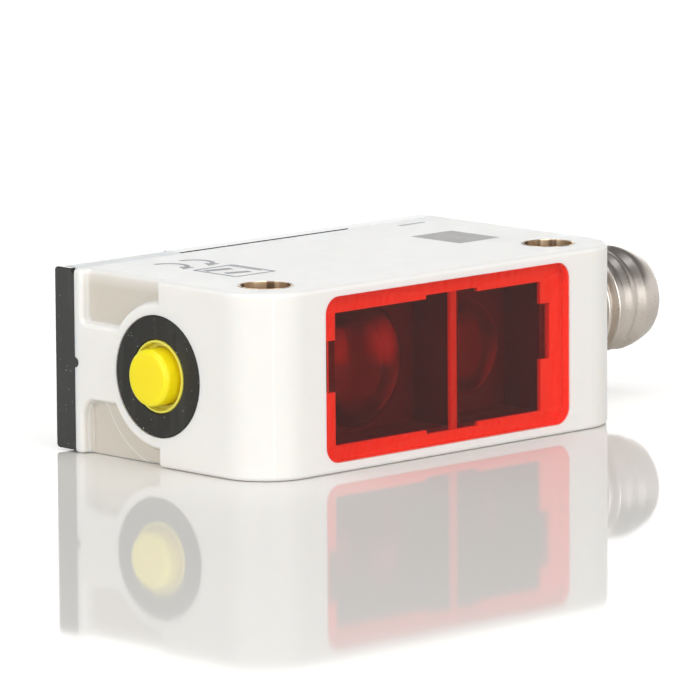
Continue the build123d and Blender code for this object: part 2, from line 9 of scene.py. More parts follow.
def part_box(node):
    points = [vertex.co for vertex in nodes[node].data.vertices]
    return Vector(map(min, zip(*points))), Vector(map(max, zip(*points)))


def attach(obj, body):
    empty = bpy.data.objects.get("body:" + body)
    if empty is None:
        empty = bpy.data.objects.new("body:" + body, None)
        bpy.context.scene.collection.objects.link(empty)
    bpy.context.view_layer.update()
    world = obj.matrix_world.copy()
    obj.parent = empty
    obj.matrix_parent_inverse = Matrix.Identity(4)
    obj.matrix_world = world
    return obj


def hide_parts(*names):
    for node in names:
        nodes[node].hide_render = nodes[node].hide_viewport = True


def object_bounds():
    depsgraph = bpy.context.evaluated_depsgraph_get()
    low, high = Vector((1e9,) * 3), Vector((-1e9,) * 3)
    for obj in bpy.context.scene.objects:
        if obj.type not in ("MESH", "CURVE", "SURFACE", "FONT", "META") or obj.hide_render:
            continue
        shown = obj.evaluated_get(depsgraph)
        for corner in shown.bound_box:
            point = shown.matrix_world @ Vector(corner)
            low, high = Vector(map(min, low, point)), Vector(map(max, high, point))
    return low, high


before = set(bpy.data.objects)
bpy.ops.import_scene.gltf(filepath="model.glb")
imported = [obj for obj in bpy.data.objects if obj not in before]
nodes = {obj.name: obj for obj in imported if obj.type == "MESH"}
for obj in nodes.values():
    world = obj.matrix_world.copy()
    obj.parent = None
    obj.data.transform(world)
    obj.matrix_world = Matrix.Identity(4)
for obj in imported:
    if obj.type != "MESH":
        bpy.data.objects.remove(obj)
cad_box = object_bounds()

MM = 0.001
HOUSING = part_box("housing")
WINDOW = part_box("front_window")
TOP = HOUSING[1].z

# ---------------------------------------------------------------- camera
CAMERA_AZIMUTH = math.radians(-43.85)
CAMERA_ELEVATION = math.radians(9.15)
CAMERA_ROLL = math.radians(-0.38)
CAMERA_DISTANCE = 451.7 * MM
CAMERA_AIM = Vector((-11.44, -6.34, 8.41)) * MM
LENS = 371.0
SENSOR = 36.0
NEAREST_SEEN = 0.01


def make_camera():
    """Long lens, low over the table, looking at the corner between window and button."""
    data = bpy.data.cameras.new("camera")
    data.lens = LENS
    data.sensor_width = SENSOR
    data.clip_start = NEAREST_SEEN
    camera = bpy.data.objects.new("camera", data)
    bpy.context.collection.objects.link(camera)
    right = Vector((math.cos(CAMERA_AZIMUTH), math.sin(CAMERA_AZIMUTH), 0))
    back = Vector((math.sin(CAMERA_AZIMUTH) * math.cos(CAMERA_ELEVATION),
                   -math.cos(CAMERA_AZIMUTH) * math.cos(CAMERA_ELEVATION),
                   math.sin(CAMERA_ELEVATION)))
    up = back.cross(right)
    rolled_right = right * math.cos(CAMERA_ROLL) + up * math.sin(CAMERA_ROLL)
    rolled_up = up * math.cos(CAMERA_ROLL) - right * math.sin(CAMERA_ROLL)
    place = CAMERA_AIM + back * CAMERA_DISTANCE
    axes = Matrix((rolled_right, rolled_up, back)).transposed().to_4x4()
    camera.matrix_world = Matrix.Translation(place) @ axes
    bpy.context.scene.camera = camera


# ---------------------------------------------------------------- node helpers
def new_material(name):
    """Empty node tree with an output."""
    material = bpy.data.materials.new(name)
    material.use_nodes = True
    tree = material.node_tree
    tree.nodes.clear()
    return material, tree, tree.nodes.new("ShaderNodeOutputMaterial")


def noise(tree, scale, detail=3.0, stretch=(1, 1, 1)):
    """Noise in object space, with features about 1/scale metres wide."""
    place = tree.nodes.new("ShaderNodeTexCoord")
    mapping = tree.nodes.new("ShaderNodeMapping")
    mapping.inputs["Scale"].default_value = stretch
    texture = tree.nodes.new("ShaderNodeTexNoise")
    texture.inputs["Scale"].default_value = scale
    texture.inputs["Detail"].default_value = detail
    tree.links.new(place.outputs["Object"], mapping.inputs["Vector"])
    tree.links.new(mapping.outputs["Vector"], texture.inputs["Vector"])
    return texture.outputs["Fac"]


def spread(tree, value, low, high, low_in=0.3, high_in=0.7):
    """Maps a value from one range to another, and stops at its ends."""
    node = tree.nodes.new("ShaderNodeMapRange")
    node.inputs["From Min"].default_value = low_in
    node.inputs["From Max"].default_value = high_in
    node.inputs["To Min"].default_value = low
    node.inputs["To Max"].default_value = high
    tree.links.new(value, node.inputs["Value"])
    return node.outputs["Result"]


def combine(tree, operation, first, second):
    """Result of a math node on two sockets."""
    node = tree.nodes.new("ShaderNodeMath")
    node.operation = operation
    tree.links.new(first, node.inputs[0])
    tree.links.new(second, node.inputs[1])
    return node.outputs["Value"]


def constant(tree, number):
    """Socket that holds a fixed number."""
    node = tree.nodes.new("ShaderNodeValue")
    node.outputs["Value"].default_value = number
    return node.outputs["Value"]


def inverse(tree, value):
    """1 minus a value."""
    return combine(tree, "SUBTRACT", constant(tree, 1.0), value)


def multiply(tree, *factors):
    """Product of any number of sockets."""
    product = factors[0]
    for factor in factors[1:]:
        product = combine(tree, "MULTIPLY", product, factor)
    return product


def between(tree, value, low, high, soft):
    """1 between two limits, 0 outside them, with a soft edge inside."""
    rising = spread(tree, value, 0, 1, low, low + soft)
    falling = spread(tree, value, 1, 0, high - soft, high)
    return multiply(tree, rising, falling)


def distance_squared(tree, first, second, centre):
    """Squared distance of two coordinates from a centre in their plane."""
    across = combine(tree, "SUBTRACT", first, constant(tree, centre[0]))
    along = combine(tree, "SUBTRACT", second, constant(tree, centre[1]))
    return combine(tree, "ADD", multiply(tree, across, across), multiply(tree, along, along))


def object_place(tree):
    """X, Y and Z of the shaded point in the row frame."""
    place = tree.nodes.new("ShaderNodeTexCoord")
    split = tree.nodes.new("ShaderNodeSeparateXYZ")
    tree.links.new(place.outputs["Object"], split.inputs["Vector"])
    return split.outputs


def surface_slope(tree):
    """X, Y and Z of the surface's direction, without bump."""
    geometry = tree.nodes.new("ShaderNodeNewGeometry")
    split = tree.nodes.new("ShaderNodeSeparateXYZ")
    tree.links.new(geometry.outputs["True Normal"], split.inputs["Vector"])
    return split.outputs


def blend_colour(tree, value, first, second):
    """Mix of two colours; the first may be a socket."""
    node = tree.nodes.new("ShaderNodeMix")
    node.data_type = "RGBA"
    if isinstance(first, tuple):
        node.inputs["A"].default_value = (*first, 1)
    else:
        tree.links.new(first, node.inputs["A"])
    node.inputs["B"].default_value = (*second, 1)
    tree.links.new(value, node.inputs["Factor"])
    return node.outputs["Result"]


def bump(tree, height, depth):
    """Surface direction bent by a height field of the given depth."""
    node = tree.nodes.new("ShaderNodeBump")
    node.inputs["Distance"].default_value = depth
    node.inputs["Strength"].default_value = 1.0
    tree.links.new(height, node.inputs["Height"])
    return node.outputs["Normal"]


# ---------------------------------------------------------------- kinds of material
PLASTIC_DRIFT_SCALE = 180              # noise scales: one over the size of a feature in metres
PLASTIC_GLOSS_SCALE = 900
UPWARD_SLOPE = (0.5, 0.9)              # the polish comes in between these steepnesses
METAL_PATCH_SCALE = 400
METAL_GLOSS_SCALE = 1200
STRIPE_SCALE = 1100
STRIPE_SPAN = (0.46, 0.56)
CLEAR_DEPTH_SCALE = 250
CLEAR_GLOSS_SCALE = 700
CLEAR_RIPPLE_SCALE = 350
CLEAR_RIPPLE_DEPTH = 0.0003 * MM
CLEAR_DEEPER = 0.97


def plastic(name, colour, variation, rough, grain=6000, grain_depth=0.004 * MM, scatter=0.0,
            scatter_size=0.5 * MM, scatter_tint=(1.0, 0.8, 0.6), extra=None, polished_top=None):
    """Moulded plastic: slight colour drift, uneven gloss and a fine spark-eroded grain."""
    material, tree, output = new_material(name)
    shader = tree.nodes.new("ShaderNodeBsdfPrincipled")
    drift = spread(tree, noise(tree, PLASTIC_DRIFT_SCALE, 4), 0, 1)
    darker = tuple(c * (1 - variation) for c in colour)
    base = blend_colour(tree, drift, colour, darker)
    if extra:
        base = extra(tree, base)
    tree.links.new(base, shader.inputs["Base Color"])
    gloss = spread(tree, noise(tree, PLASTIC_GLOSS_SCALE, 3), *rough)
    relief = noise(tree, grain, 2)
    if polished_top:
        elsewhere = spread(tree, surface_slope(tree)[2], 1, 0, *UPWARD_SLOPE)
        relief = multiply(tree, relief, elsewhere)
        gloss = combine(tree, "MAXIMUM", multiply(tree, gloss, elsewhere), constant(tree, polished_top))
    tree.links.new(gloss, shader.inputs["Roughness"])
    tree.links.new(bump(tree, relief, grain_depth), shader.inputs["Normal"])
    if scatter:
        shader.inputs["Subsurface Weight"].default_value = scatter
        shader.inputs["Subsurface Radius"].default_value = scatter_tint
        shader.inputs["Subsurface Scale"].default_value = scatter_size
    tree.links.new(shader.outputs["BSDF"], output.inputs["Surface"])
    return material


def metal(name, colour, variation, rough, stretch=(1, 1, 1), grain=2500, grain_depth=0.0015 * MM,
          stripes=None):
    """Metal with fine tool marks along the stretched direction and patchy polish."""
    material, tree, output = new_material(name)
    shader = tree.nodes.new("ShaderNodeBsdfPrincipled")
    shader.inputs["Metallic"].default_value = 1.0
    patches = spread(tree, noise(tree, METAL_PATCH_SCALE, 4), 0, 1)
    darker = tuple(c * (1 - variation) for c in colour)
    base = blend_colour(tree, patches, colour, darker)
    if stripes:
        striped = spread(tree, noise(tree, STRIPE_SCALE, 2, stretch), 0, 1, *STRIPE_SPAN)
        base = blend_colour(tree, striped, base, stripes)
    tree.links.new(base, shader.inputs["Base Color"])
    gloss = spread(tree, noise(tree, METAL_GLOSS_SCALE, 3), *rough)
    tree.links.new(gloss, shader.inputs["Roughness"])
    marks = noise(tree, grain, 2, stretch)
    tree.links.new(bump(tree, marks, grain_depth), shader.inputs["Normal"])
    tree.links.new(shader.outputs["BSDF"], output.inputs["Surface"])
    return material


def clear_solid(name, tint, ior=1.49, rough=0.02, clarity=None):
    """Transparent moulding that bends the view and lets the lamps' light through, tinted."""
    material, tree, output = new_material(name)
    glass = tree.nodes.new("ShaderNodeBsdfPrincipled")
    glass.inputs["Transmission Weight"].default_value = 1.0
    glass.inputs["IOR"].default_value = ior
    if clarity:
        tree.links.new(clarity(tree), glass.inputs["Transmission Weight"])
    depth = spread(tree, noise(tree, CLEAR_DEPTH_SCALE, 3), 0, 1)
    deeper = tuple(c * CLEAR_DEEPER for c in tint)
    tree.links.new(blend_colour(tree, depth, tint, deeper), glass.inputs["Base Color"])
    gloss = spread(tree, noise(tree, CLEAR_GLOSS_SCALE, 2), rough / 2, rough)
    tree.links.new(gloss, glass.inputs["Roughness"])
    ripple = bump(tree, noise(tree, CLEAR_RIPPLE_SCALE, 2), CLEAR_RIPPLE_DEPTH)
    tree.links.new(ripple, glass.inputs["Normal"])
    through = tree.nodes.new("ShaderNodeBsdfTransparent")
    through.inputs["Color"].default_value = (*(math.sqrt(c) for c in tint), 1)
    path = tree.nodes.new("ShaderNodeLightPath")
    lamps = combine(tree, "MAXIMUM", path.outputs["Is Shadow Ray"], path.outputs["Is Diffuse Ray"])
    mix = tree.nodes.new("ShaderNodeMixShader")
    tree.links.new(lamps, mix.inputs["Fac"])
    tree.links.new(glass.outputs["BSDF"], mix.inputs[1])
    tree.links.new(through.outputs["BSDF"], mix.inputs[2])
    tree.links.new(mix.outputs["Shader"], output.inputs["Surface"])
    return material


# ---------------------------------------------------------------- surface details, painted shade and painted highlights
# Painted shade: a darker tone on the floors of the grip recesses, standing in for the shade in the hollows.
RECESS_PAINTED_SHADE = (0.60, 0.555, 0.485)
RECESS_START = (HOUSING[0].x + 0.25 * MM, HOUSING[0].x + 0.45 * MM)
RECESS_END = (HOUSING[0].x + 0.9 * MM, HOUSING[0].x + 1.0 * MM)
RECESS_SIDE = (6.1 * MM, 6.3 * MM)
RECESS_TOP = (TOP - 1.0 * MM, TOP - 0.1 * MM)
RECESS_TOP_SHARE = 0.25
FACING_BUTTON_END = (-0.9, -0.5)
# Painted highlight: a paler line along the rim of the step in the lower recess.
STEP_CENTRE = (6.25 * MM, 5.85 * MM)
STEP_RADIUS = 6.05 * MM
STEP_HALF_WIDTH = 0.13 * MM
STEP_RIM_TOP = (STEP_CENTRE[1] - 1.5 * MM, STEP_CENTRE[1] - 1.0 * MM)
STEP_RIM_HIGHLIGHT_SHARE = 0.5
# Painted light: a paler tone on the ledge behind the window, making it brighter than the lamps leave it.
LEDGE_PAINTED_LIGHT = (0.97, 0.96, 0.95)
LEDGE_Y = (HOUSING[0].y + 0.6 * MM, HOUSING[0].y + 2.0 * MM)
FACING_WINDOW = (-0.95, -0.8)
# Painted shade: a darker tone on the rib between the chambers behind the window.
RIB_PAINTED_SHADE = (0.56, 0.55, 0.53)
RIB_X = (0.8 * MM, 1.52 * MM)
RIB_Z = (1.35 * MM, 10.4 * MM)
SOFT_EDGE = 0.05 * MM
SPECK_TONE = (0.45, 0.45, 0.43)
SPECK_SCALE = 6500
SPECK_LEVEL = (0.735, 0.78)
STREAK_SCALE = 1400
STREAK_STRETCH = (1, 1, 0.05)
STREAK_LEVEL = (0.5, 0.7)
STREAK_SHARE = 0.03
# Painted highlight: a pale spot on the receiver's lens.
LENS_HIGHLIGHT_PLACE = (-2.1 * MM, 7.1 * MM)
LENS_HIGHLIGHT_RADIUS = 1.7 * MM
LENS_HIGHLIGHT_SHARE = 0.28
# Painted highlight: a pale band along the rim of the emitter's lens.
LENS_RIM_HIGHLIGHT_SPAN = (0.10, 0.45)
LENS_RIM_HIGHLIGHT_SHARE = 0.07


def recess_painted_shade(tree):
    """Painted shade: 1 on the floors of the two grip recesses, less near the upper side, and half on the
    step's rim, which leaves a painted highlight line there.
    """
    x, y, z = object_place(tree)
    floor = multiply(tree, spread(tree, x, 0, 1, *RECESS_START),
                     spread(tree, x, 1, 0, *RECESS_END),
                     spread(tree, y, 0, 1, *RECESS_SIDE),
                     spread(tree, surface_slope(tree)[0], 1, 0, *FACING_BUTTON_END),
                     spread(tree, z, 1, RECESS_TOP_SHARE, *RECESS_TOP))
    painted_rim_highlight = between(tree, distance_squared(tree, y, z, STEP_CENTRE),
                  (STEP_RADIUS - STEP_HALF_WIDTH) ** 2, (STEP_RADIUS + STEP_HALF_WIDTH) ** 2,
                  STEP_RADIUS * STEP_HALF_WIDTH)
    low = spread(tree, z, 1, 0, *STEP_RIM_TOP)
    return multiply(tree, floor, inverse(tree, multiply(tree, painted_rim_highlight, low, constant(tree, STEP_RIM_HIGHLIGHT_SHARE))))


def window_ledge(tree):
    """Masks for painted light and painted shade: 1 on the ledge behind the window, and 1 on the part of it
    that is the rib.
    """
    x, y, z = object_place(tree)
    ledge = multiply(tree, between(tree, y, *LEDGE_Y, SOFT_EDGE),
                     spread(tree, surface_slope(tree)[1], 1, 0, *FACING_WINDOW))
    rib = multiply(tree, ledge, between(tree, z, *RIB_Z, SOFT_EDGE), between(tree, x, *RIB_X, SOFT_EDGE))
    return ledge, rib


def housing_painted_light_and_shade(tree, base):
    """Painted shade on the recess floors with a painted highlight on the step's rim, painted light on the
    ledge behind the window, and painted shade on its rib.
    """
    ledge, rib = window_ledge(tree)
    toned = blend_colour(tree, recess_painted_shade(tree), base, RECESS_PAINTED_SHADE)
    toned = blend_colour(tree, ledge, toned, LEDGE_PAINTED_LIGHT)
    return blend_colour(tree, rib, toned, RIB_PAINTED_SHADE)


def dust(tree, base):
    """Tiny pale specks of dust and faint upright streaks on dark plastic."""
    specks = spread(tree, noise(tree, SPECK_SCALE, 1), 0, 1, *SPECK_LEVEL)
    streaks = spread(tree, noise(tree, STREAK_SCALE, 3, STREAK_STRETCH), 0, STREAK_SHARE, *STREAK_LEVEL)
    tint = blend_colour(tree, streaks, base, SPECK_TONE)
    return blend_colour(tree, specks, tint, SPECK_TONE)


def soft_spot(tree, centre, radius):
    """1 at a point of the window's plane, fading to 0 at a radius from it."""
    x, y, z = object_place(tree)
    return spread(tree, distance_squared(tree, x, z, centre), 1, 0, 0, radius ** 2)


def receiver_clarity_painted_highlight(tree):
    """The receiver's lens is clear but for a painted highlight: a soft pale spot off its middle."""
    painted_spot = soft_spot(tree, LENS_HIGHLIGHT_PLACE, LENS_HIGHLIGHT_RADIUS)
    return inverse(tree, multiply(tree, painted_spot, constant(tree, LENS_HIGHLIGHT_SHARE)))


def emitter_clarity_painted_highlight(tree):
    """The emitter's lens is clear but for a painted highlight: a pale band along its rim."""
    low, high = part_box("emitter_lens")
    middle = (low + high) / 2
    inner = soft_spot(tree, (middle.x, middle.z), (high.x - low.x) / 2)
    painted_rim_highlight = spread(tree, inner, 1, 0, *LENS_RIM_HIGHLIGHT_SPAN)
    return inverse(tree, multiply(tree, painted_rim_highlight, constant(tree, LENS_RIM_HIGHLIGHT_SHARE)))


# ---------------------------------------------------------------- materials
WHITE = (0.80, 0.785, 0.755)
YELLOW = (0.91, 0.74, 0.004)

material_of = {
    # The housing's extra colours are painted shade in the recesses and on the rib, and painted light on the
    # ledge.
    "housing": plastic("white_housing", WHITE, 0.015, (0.34, 0.44), scatter=0.5, scatter_size=0.8 * MM,
                       extra=housing_painted_light_and_shade),
    "front_window": clear_solid("red_window", (1.0, 0.105, 0.055), ior=1.33),
    "rear_cover": plastic("dark_cover", (0.034, 0.034, 0.031), 0.25, (0.38, 0.50), grain=9000,
                          grain_depth=0.006 * MM, extra=dust, polished_top=0.06),
    "indicator_light_guide": plastic("milky_guide", (0.76, 0.765, 0.76), 0.02, (0.45, 0.55), scatter=0.6,
                                     scatter_size=1.2 * MM),
    "cover_gasket": plastic("seal_rubber", (0.03, 0.03, 0.03), 0.2, (0.6, 0.75)),
    "mounting_bushes": metal("bush_brass", (0.95, 0.73, 0.50), 0.08, (0.30, 0.38), stretch=(1, 1, 0.02),
                             grain=1500, grain_depth=0.001 * MM, stripes=(0.28, 0.19, 0.12)),
    "button_bezel": plastic("black_bezel", (0.012, 0.0115, 0.009), 0.2, (0.50, 0.60), grain=8000,
                            extra=dust),
    "button_membrane": plastic("yellow_rubber", (0.86, 0.76, 0.10), 0.05, (0.40, 0.50), scatter=0.5,
                               scatter_size=0.8 * MM, scatter_tint=(1.0, 0.8, 0.1)),
    "teach_button": plastic("yellow_button", YELLOW, 0.03, (0.34, 0.42), grain=4000, scatter=0.9,
                            scatter_size=1.6 * MM, scatter_tint=(1.0, 0.75, 0.1)),
    "switch_plunger": plastic("plunger_plastic", (0.05, 0.05, 0.05), 0.2, (0.4, 0.5)),
    "teach_switch": plastic("switch_plastic", (0.06, 0.06, 0.065), 0.2, (0.4, 0.5)),
    "connector_shell": metal("nickel_shell", (0.745, 0.675, 0.61), 0.08, (0.26, 0.34),
                             stretch=(1, 0.1, 0.1), grain=900, grain_depth=0.0002 * MM),
    "connector_insert": plastic("insert_plastic", (0.05, 0.05, 0.05), 0.2, (0.35, 0.5)),
    "contact_pins": metal("gold_contact", (0.90, 0.68, 0.32), 0.1, (0.15, 0.25)),
    "connector_seal": plastic("seal_ring_rubber", (0.03, 0.03, 0.03), 0.2, (0.6, 0.7)),
    "lead_wires": metal("tinned_lead", (0.75, 0.74, 0.72), 0.1, (0.25, 0.35)),
    "optics_carrier": plastic("carrier_plastic", (0.034, 0.020, 0.020), 0.2, (0.40, 0.55)),
    # The receiver's lens carries a painted highlight spot.
    "receiver_lens": clear_solid("receiver_lens_clear", (0.80, 0.76, 0.76),
                                 rough=0.16, clarity=receiver_clarity_painted_highlight),
    # The emitter's lens carries a painted highlight along its rim.
    "emitter_lens": clear_solid("emitter_lens_clear", (0.84, 0.80, 0.80),
                                rough=0.16, clarity=emitter_clarity_painted_highlight),
    "receiver_diode": plastic("diode_epoxy", (0.02, 0.02, 0.03), 0.2, (0.1, 0.2)),
    "receiver_shield": metal("shield_steel", (0.66, 0.65, 0.62), 0.1, (0.25, 0.35)),
    "emitter_led": plastic("emitter_white", (0.75, 0.73, 0.68), 0.05, (0.2, 0.3)),
    "circuit_board": plastic("board_green", (0.02, 0.20, 0.09), 0.2, (0.25, 0.35)),
    "signal_chip": plastic("chip_black", (0.03, 0.03, 0.03), 0.2, (0.5, 0.6)),
    "board_components": plastic("ceramic_tan", (0.50, 0.38, 0.24), 0.3, (0.5, 0.6)),
    "status_leds": plastic("led_lens", (0.85, 0.80, 0.50), 0.05, (0.15, 0.25)),
}
for node_name, material in material_of.items():
    for slot in nodes[node_name].material_slots:
        slot.material = material


# ---------------------------------------------------------------- mesh helpers
def add_piece(name, bm, material):
    """Turns mesh data into a piece that rides on the sensor's fixed body."""
    bmesh.ops.recalc_face_normals(bm, faces=bm.faces)
    mesh = bpy.data.meshes.new(name)
    bm.to_mesh(mesh)
    bm.free()
    mesh.materials.append(material)
    piece = bpy.data.objects.new(name, mesh)
    bpy.context.collection.objects.link(piece)
    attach(piece, "sensor")
    return piece


# ---------------------------------------------------------------- threaded connector shell
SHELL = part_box("connector_shell")
SHELL_AXIS = (SHELL[0] + SHELL[1]) / 2
END_WALL = HOUSING[1].x
TIP = SHELL[1].x
THREAD_PITCH = 1.0 * MM
THREAD_CREST = 3.93 * MM
THREAD_ROOT = 3.36 * MM
THREAD_START = END_WALL + 1.6 * MM
THREAD_END = END_WALL + 5.6 * MM
THREAD_CREST_AT = 22.8 * MM            # a crest passes here on the window's side
CREST_SHARE = 0.16                     # of the half pitch that is flat crest or flat root
SHELL_TURN_STEPS = 96
SHELL_ROW = 0.05 * MM
SHARP_EDGE = math.radians(50)
FLANGE_RADIUS = 4.3 * MM               # inside the housing's end wall
FLANGE_LENGTH = 0.7 * MM
BODY_RADIUS = 4.0 * MM                 # where it passes through the end wall
SEAL_GROOVE_GAP = 0.25 * MM
SEAL_GROOVE_LENGTH = 0.7 * MM
NECK_RADIUS = 3.4 * MM
COLLAR_RADIUS = 4.28 * MM
COLLAR_EDGE = 0.12 * MM
COLLAR_END = END_WALL + 0.8 * MM
NECK_END = END_WALL + 1.4 * MM
CREST_SPAN = (END_WALL + 1.8 * MM, END_WALL + 5.1 * MM)
# Two soft rings ahead of the thread: distance from the end wall and radius, in mm.
FRONT_RINGS = ((5.3, 3.50), (5.6, 3.41), (6.0, 3.37), (6.15, 3.375), (6.55, 3.52), (6.75, 3.53),
               (7.05, 3.40), (7.3, 3.33), (7.4, 3.335), (7.9, 3.52), (8.15, 3.53), (8.55, 3.46),
               (9.0, 3.33))
BORE_RADIUS = 2.85 * MM
BORE_EDGE = 0.12 * MM


def shell_envelope():
    """Outer profile without the thread, as (x, radius), from the inner flange to the tip."""
    flange = SHELL[0].x
    flange_end = flange + FLANGE_LENGTH
    groove = flange_end + SEAL_GROOVE_GAP
    groove_end = groove + SEAL_GROOVE_LENGTH
    inside = [(flange, FLANGE_RADIUS), (flange_end, FLANGE_RADIUS), (flange_end, BODY_RADIUS),
              (groove, BODY_RADIUS), (groove, NECK_RADIUS), (groove_end, NECK_RADIUS),
              (groove_end, BODY_RADIUS), (END_WALL, BODY_RADIUS)]
    collar = [(END_WALL, COLLAR_RADIUS), (COLLAR_END - COLLAR_EDGE, COLLAR_RADIUS),
              (COLLAR_END, COLLAR_RADIUS - COLLAR_EDGE), (COLLAR_END, NECK_RADIUS), (NECK_END, NECK_RADIUS)]
    crest = [(x, THREAD_CREST) for x in CREST_SPAN]
    rings = [(END_WALL + ahead * MM, radius * MM) for ahead, radius in FRONT_RINGS]
    nose = [(TIP - 0.25 * MM, 3.17 * MM), (TIP - 0.05 * MM, 3.10 * MM), (TIP, 3.02 * MM)]
    return inside + collar + crest + rings + nose


def shell_bore():
    """Socket's inside, from the tip back to the inner flange."""
    return [(TIP, BORE_RADIUS + BORE_EDGE), (TIP - BORE_EDGE, BORE_RADIUS), (SHELL[0].x, BORE_RADIUS)]


def denser(profile, step, start, end):
    """Adds rows between the profile's points where the thread runs."""
    rows = [profile[0]]
    for (x0, r0), (x1, r1) in zip(profile, profile[1:]):
        inside = x1 > start and x0 < end and x1 > x0
        count = max(1, round((x1 - x0) / step)) if inside else 1
        rows += [(x0 + (x1 - x0) * i / count, r0 + (r1 - r0) * i / count) for i in range(1, count + 1)]
    return rows


def thread_radius(x, angle):
    """Smooth right-handed thread; angle 0 faces the window's side and grows upwards."""
    phase = (x - THREAD_CREST_AT) / THREAD_PITCH + angle / (2 * math.pi)
    from_crest = abs(2 * (phase - math.floor(phase + 0.5)))
    slope = min(1.0, max(0.0, (from_crest - CREST_SHARE) / (1 - 2 * CREST_SHARE)))
    depth = slope * slope * (3 - 2 * slope)
    return THREAD_CREST + (THREAD_ROOT - THREAD_CREST) * depth


def thread_share(x):
    """Thread fades in and out over half a pitch at both ends."""
    fade = THREAD_PITCH / 2
    return max(0.0, min(1.0, (x - THREAD_START) / fade, (THREAD_END - x) / fade))


def shell_ring(bm, x, envelope, share):
    """Corners of one turn round the axis, threaded by a share and kept within the envelope."""
    ring = []
    for step in range(SHELL_TURN_STEPS):
        angle = 2 * math.pi * step / SHELL_TURN_STEPS
        radius = min(envelope, thread_radius(x, angle) * share + envelope * (1 - share))
        ring.append(bm.verts.new((x, SHELL_AXIS.y - radius * math.cos(angle),
                                  SHELL_AXIS.z + radius * math.sin(angle))))
    return ring


def make_threaded_shell():
    """Metal shell with a real helical thread, in place of the plain cylinder."""
    bm = bmesh.new()
    outside = denser(shell_envelope(), SHELL_ROW, THREAD_START, THREAD_END)
    rings = [shell_ring(bm, x, radius, thread_share(x)) for x, radius in outside]
    rings += [shell_ring(bm, x, radius, 0) for x, radius in shell_bore()]
    for ring, following in zip(rings, rings[1:] + rings[:1]):
        for step in range(SHELL_TURN_STEPS):
            after = (step + 1) % SHELL_TURN_STEPS
            bm.faces.new((ring[step], ring[after], following[after], following[step]))
    piece = add_piece("threaded_shell", bm, material_of["connector_shell"])
    piece.data.shade_smooth()
    piece.data.set_sharp_from_angle(angle=SHARP_EDGE)
    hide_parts("connector_shell")


# ---------------------------------------------------------------- printed marks
INK_HEIGHT = 0.006 * MM
INK_GAP = 0.002 * MM
ARROW_RADIUS = 1.24 * MM
ARROW_CENTRES = ((-11.5 * MM, 10.4 * MM), (-9.3 * MM, 10.4 * MM))
ARROW_TURN = (math.radians(90), math.radians(-55))
ARROW_STEPS = 18
ARROW_HEAD = 1.05 * MM
LINE = 0.34 * MM
THIN_LINE = 0.22 * MM
SYMBOL_X = (-11.5 * MM, -8.15 * MM)
SYMBOL_Y = (4.0 * MM, 7.95 * MM)
SYMBOL_BAND = 0.45 * MM
# Start, end and width of the bars in the frame, in mm.
BARS = (((-11.2, 7.2), (-9.3, 6.85), 0.60), ((-10.95, 5.55), (-9.3, 5.05), 0.55))
PATCH_X = (8.65 * MM, 12.35 * MM)
PATCH_Y = (4.15 * MM, 8.65 * MM)
DASH_X = (11.6 * MM, 13.9 * MM)
DASH_Y = (12.65 * MM, 12.95 * MM)
# The screen's darker tone, its paler tone and the size of its cells.
DARK_INK = ((0.16, 0.16, 0.17), (0.42, 0.42, 0.43), 0.05 * MM)
GREY_INK = ((0.33, 0.32, 0.31), (0.48, 0.46, 0.44), 0.09 * MM)
INK_WEAR_SCALE = 1500
INK_WEAR = 0.25
INK_GLOSS_SCALE = 900
INK_ROUGHNESS = (0.45, 0.6)


def ink(name, dark, light, cell):
    """Printed ink, laid down in a fine regular screen of square cells."""
    material, tree, output = new_material(name)
    shader = tree.nodes.new("ShaderNodeBsdfPrincipled")
    place = tree.nodes.new("ShaderNodeTexCoord")
    screen = tree.nodes.new("ShaderNodeTexChecker")
    screen.inputs["Scale"].default_value = 1 / cell
    screen.inputs["Color1"].default_value = (*dark, 1)
    screen.inputs["Color2"].default_value = (*light, 1)
    tree.links.new(place.outputs["Object"], screen.inputs["Vector"])
    wear = spread(tree, noise(tree, INK_WEAR_SCALE, 3), 0, INK_WEAR)
    tree.links.new(blend_colour(tree, wear, screen.outputs["Color"], light), shader.inputs["Base Color"])
    gloss = spread(tree, noise(tree, INK_GLOSS_SCALE, 2), *INK_ROUGHNESS)
    tree.links.new(gloss, shader.inputs["Roughness"])
    tree.links.new(shader.outputs["BSDF"], output.inputs["Surface"])
    return material


def add_slab(bm, corners):
    """Thin slab of ink on the upper side, from its corners in order."""
    low = [bm.verts.new((x, y, TOP + INK_GAP)) for x, y in corners]
    high = [bm.verts.new((x, y, TOP + INK_GAP + INK_HEIGHT)) for x, y in corners]
    bm.faces.new(low[::-1])
    bm.faces.new(high)
    for index in range(len(corners)):
        after = (index + 1) % len(corners)
        bm.faces.new((low[index], low[after], high[after], high[index]))


def add_line(bm, start, end, width):
    """Straight line of ink."""
    a, b = Vector(start), Vector(end)
    along = (b - a).normalized()
    side = Vector((-along.y, along.x)) * width / 2
    add_slab(bm, [tuple(a - side), tuple(b - side), tuple(b + side), tuple(a + side)])


def add_rectangle(bm, x, y):
    """Rectangle of ink between two x and two y."""
    add_slab(bm, [(x[0], y[0]), (x[1], y[0]), (x[1], y[1]), (x[0], y[1])])


